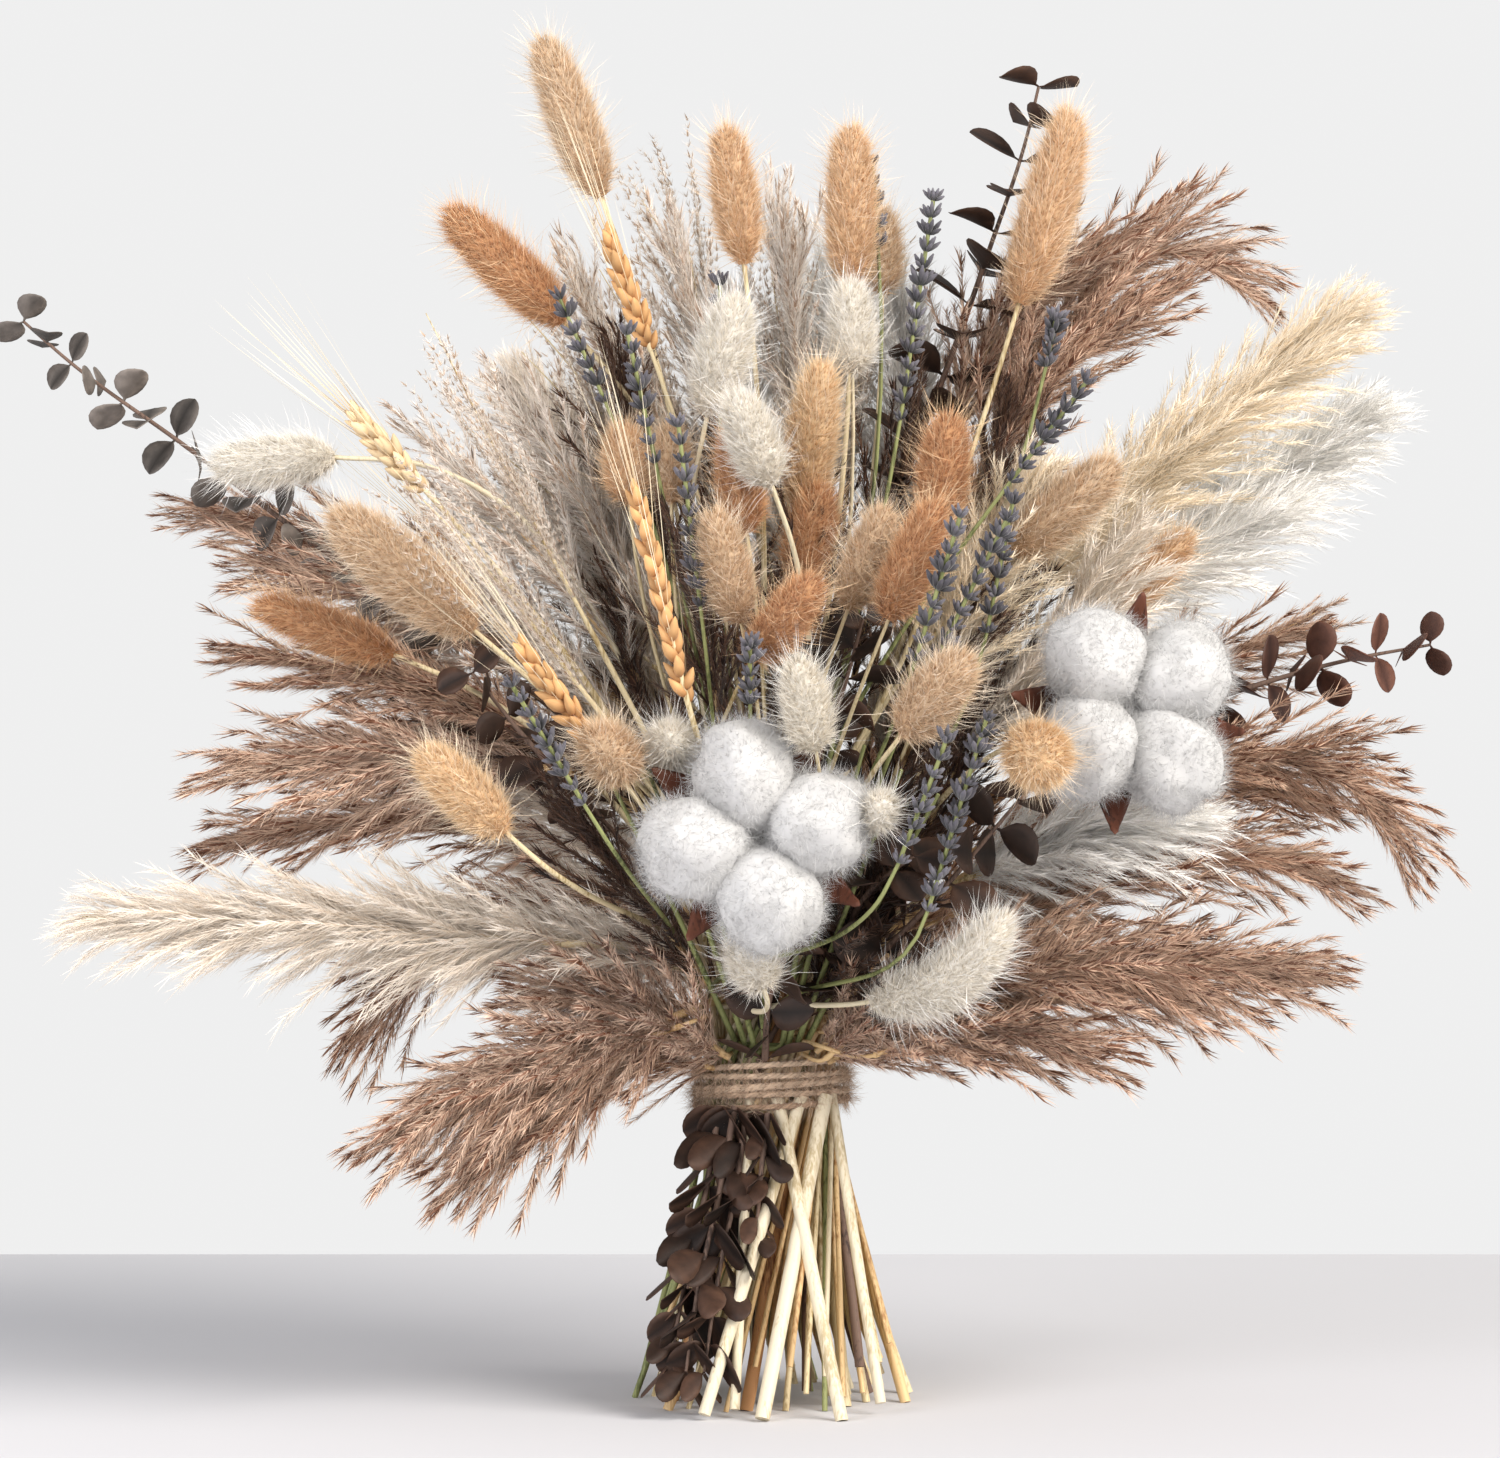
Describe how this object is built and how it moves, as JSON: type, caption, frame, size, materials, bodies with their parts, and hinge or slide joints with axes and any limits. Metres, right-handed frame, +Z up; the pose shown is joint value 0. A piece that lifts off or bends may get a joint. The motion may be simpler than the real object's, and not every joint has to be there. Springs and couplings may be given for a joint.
{
  "type": "bunch of dried flowers",
  "caption": "Hand-tied bunch of dried bunny tails, wheat, lavender, pampas, reed, eucalyptus and cotton, bound with twine and standing on its spread cut stems.",
  "frame": {"origin": "on the floor under the middle of the bunch's bounding box", "axes": "+Z up from the cut ends to the heads, +X to the right seen from the front, and the front with the cotton bolls faces -Y"},
  "size_m": [0.485, 0.2792, 0.455],
  "materials": {
    "bunny_tail": "matte",
    "lavender": "matte",
    "wheat": "matte",
    "pampas": "matte",
    "brown_reed": "matte",
    "silver_grass": "matte",
    "eucalyptus": "matte",
    "cotton_stem": "matte",
    "cotton": "matte",
    "twine": "matte"
  },
  "bodies": {
    "root": {"brown_reed_1": "brown_reed", "brown_reed_2": "brown_reed", "brown_reed_3": "brown_reed", "brown_reed_4": "brown_reed", "brown_reed_5": "brown_reed", "brown_reed_6": "brown_reed", "brown_reed_7": "brown_reed", "bunny_tail_1": "bunny_tail", "bunny_tail_10": "bunny_tail", "bunny_tail_11": "bunny_tail", "bunny_tail_12": "bunny_tail", "bunny_tail_13": "bunny_tail", "bunny_tail_14": "bunny_tail", "bunny_tail_15": "bunny_tail", "bunny_tail_16": "bunny_tail", "bunny_tail_17": "bunny_tail", "bunny_tail_18": "bunny_tail", "bunny_tail_19": "bunny_tail", "bunny_tail_2": "bunny_tail", "bunny_tail_20": "bunny_tail", "bunny_tail_21": "bunny_tail", "bunny_tail_3": "bunny_tail", "bunny_tail_4": "bunny_tail", "bunny_tail_5": "bunny_tail", "bunny_tail_6": "bunny_tail", "bunny_tail_7": "bunny_tail", "bunny_tail_8": "bunny_tail", "bunny_tail_9": "bunny_tail", "cotton_boll_1_lock_1": "cotton", "cotton_boll_1_lock_2": "cotton", "cotton_boll_1_lock_3": "cotton", "cotton_boll_1_lock_4": "cotton", "cotton_boll_2_lock_1": "cotton", "cotton_boll_2_lock_2": "cotton", "cotton_boll_2_lock_3": "cotton", "cotton_boll_2_lock_4": "cotton", "cotton_stem_1": "cotton_stem", "cotton_stem_2": "cotton_stem", "eucalyptus_1": "eucalyptus", "eucalyptus_2": "eucalyptus", "eucalyptus_3": "eucalyptus", "eucalyptus_4": "eucalyptus", "lavender_1": "lavender", "lavender_2": "lavender", "lavender_3": "lavender", "lavender_4": "lavender", "lavender_5": "lavender", "lavender_6": "lavender", "pampas_1": "pampas", "pampas_2": "pampas", "pampas_3": "pampas", "pampas_4": "pampas", "pampas_5": "pampas", "silver_grass_1": "silver_grass", "silver_grass_2": "silver_grass", "silver_grass_3": "silver_grass", "twine_tie": "twine", "wheat_1": "wheat", "wheat_2": "wheat", "wheat_3": "wheat"}
  },
  "joints": []
}
